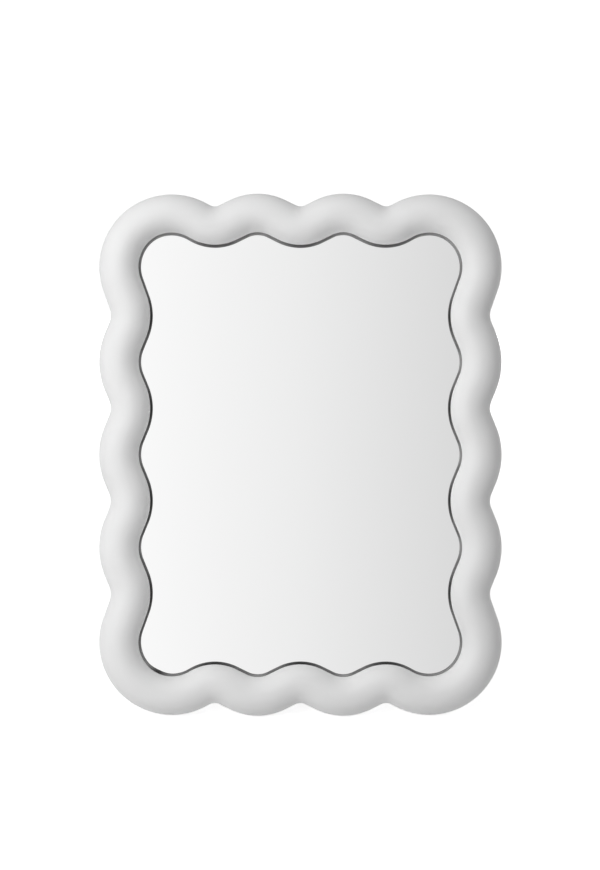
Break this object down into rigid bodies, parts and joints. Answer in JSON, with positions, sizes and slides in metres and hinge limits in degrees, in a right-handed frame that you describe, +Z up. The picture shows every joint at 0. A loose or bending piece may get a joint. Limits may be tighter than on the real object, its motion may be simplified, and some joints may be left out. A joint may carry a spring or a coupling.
{
  "type": "standing makeup mirror",
  "caption": "Rectangular makeup mirror in a white wavy tubular frame, standing on a hinged back strut or hung by rings.",
  "frame": {"origin": "on the ground, in the middle of the standing mirror's outline", "axes": "+Z up, +X to the right of someone facing the glass, -Y towards that person; the face leans back by 15 degrees"},
  "size_m": [0.3, 0.1262, 0.3768],
  "materials": {
    "frame_resin": "satin white cast resin",
    "seal_rubber": "matt black extruded rubber",
    "mirror_glass": "silvered float glass",
    "foam": "closed-cell foam sheet",
    "back_board": "dark flocked fibreboard",
    "strut_board": "dark flocked fibreboard",
    "hinge_steel": "zinc-plated stamped steel",
    "rivet_steel": "zinc-plated",
    "button_steel": "zinc-plated stamped steel",
    "screw_steel": "zinc-plated",
    "hanger_steel": "zinc-plated steel",
    "foot_rubber": "matt moulded rubber",
    "bumper_rubber": "matt grey elastomer"
  },
  "bodies": {
    "mirror": {"frame": "frame_resin", "glass_seal": "seal_rubber", "mirror_glass": "mirror_glass", "glass_cushion": "foam", "back_board": "back_board", "hinge_leaf_upper": "hinge_steel", "board_rivets": "rivet_steel", "hinge_pin": "hinge_steel", "button_screws": "screw_steel", "hanger_strap_left": "hanger_steel", "hanger_strap_right": "hanger_steel", "hanger_screws": "screw_steel", "wall_bumper_top_left": "bumper_rubber", "wall_bumper_top_right": "bumper_rubber", "wall_bumper_bottom_left": "bumper_rubber", "wall_bumper_bottom_right": "bumper_rubber"},
    "strut_assembly": {"hinge_leaf_lower": "hinge_steel", "strut_rivets": "rivet_steel", "strut": "strut_board", "strut_foot_left": "foot_rubber", "strut_foot_right": "foot_rubber"},
    "turn_button_top_left": {"turn_button_top_left": "button_steel"},
    "turn_button_top_right": {"turn_button_top_right": "button_steel"},
    "turn_button_side_left": {"turn_button_side_left": "button_steel"},
    "turn_button_side_right": {"turn_button_side_right": "button_steel"},
    "turn_button_bottom_left": {"turn_button_bottom_left": "button_steel"},
    "turn_button_bottom_right": {"turn_button_bottom_right": "button_steel"},
    "ring_left": {"hanger_ring_left": "hanger_steel"},
    "ring_right": {"hanger_ring_right": "hanger_steel"}
  },
  "joints": [
    {"name": "strut_hinge", "type": "hinge", "parent": "mirror", "child": "strut_assembly", "pos_m": [0, 0.02317, 0.22326], "axis": [1, 0, 0], "range_deg": [-24, 0]},
    {"name": "turn_button_top_left_turn", "type": "hinge", "parent": "mirror", "child": "turn_button_top_left", "pos_m": [-0.0958, 0.05747, 0.35746], "axis": [0, 0.9659, -0.2588], "range_deg": [-90, 90]},
    {"name": "turn_button_top_right_turn", "type": "hinge", "parent": "mirror", "child": "turn_button_top_right", "pos_m": [0.0958, 0.05747, 0.35746], "axis": [0, 0.9659, -0.2588], "range_deg": [-90, 90]},
    {"name": "turn_button_side_left_turn", "type": "hinge", "parent": "mirror", "child": "turn_button_side_left", "pos_m": [-0.13431, 0.01127, 0.18504], "axis": [0, 0.9659, -0.2588], "range_deg": [-90, 90]},
    {"name": "turn_button_side_right_turn", "type": "hinge", "parent": "mirror", "child": "turn_button_side_right", "pos_m": [0.13431, 0.01127, 0.18504], "axis": [0, 0.9659, -0.2588], "range_deg": [-90, 90]},
    {"name": "turn_button_bottom_left_turn", "type": "hinge", "parent": "mirror", "child": "turn_button_bottom_left", "pos_m": [-0.0958, -0.03493, 0.01261], "axis": [0, 0.9659, -0.2588], "range_deg": [-90, 90]},
    {"name": "turn_button_bottom_right_turn", "type": "hinge", "parent": "mirror", "child": "turn_button_bottom_right", "pos_m": [0.0958, -0.03493, 0.01261], "axis": [0, 0.9659, -0.2588], "range_deg": [-90, 90]},
    {"name": "ring_left_swing", "type": "hinge", "parent": "mirror", "child": "ring_left", "pos_m": [-0.13431, 0.03364, 0.26311], "axis": [1, 0, 0], "range_deg": [-15, 165]},
    {"name": "ring_right_swing", "type": "hinge", "parent": "mirror", "child": "ring_right", "pos_m": [0.13431, 0.03364, 0.26311], "axis": [1, 0, 0], "range_deg": [-15, 165]}
  ]
}
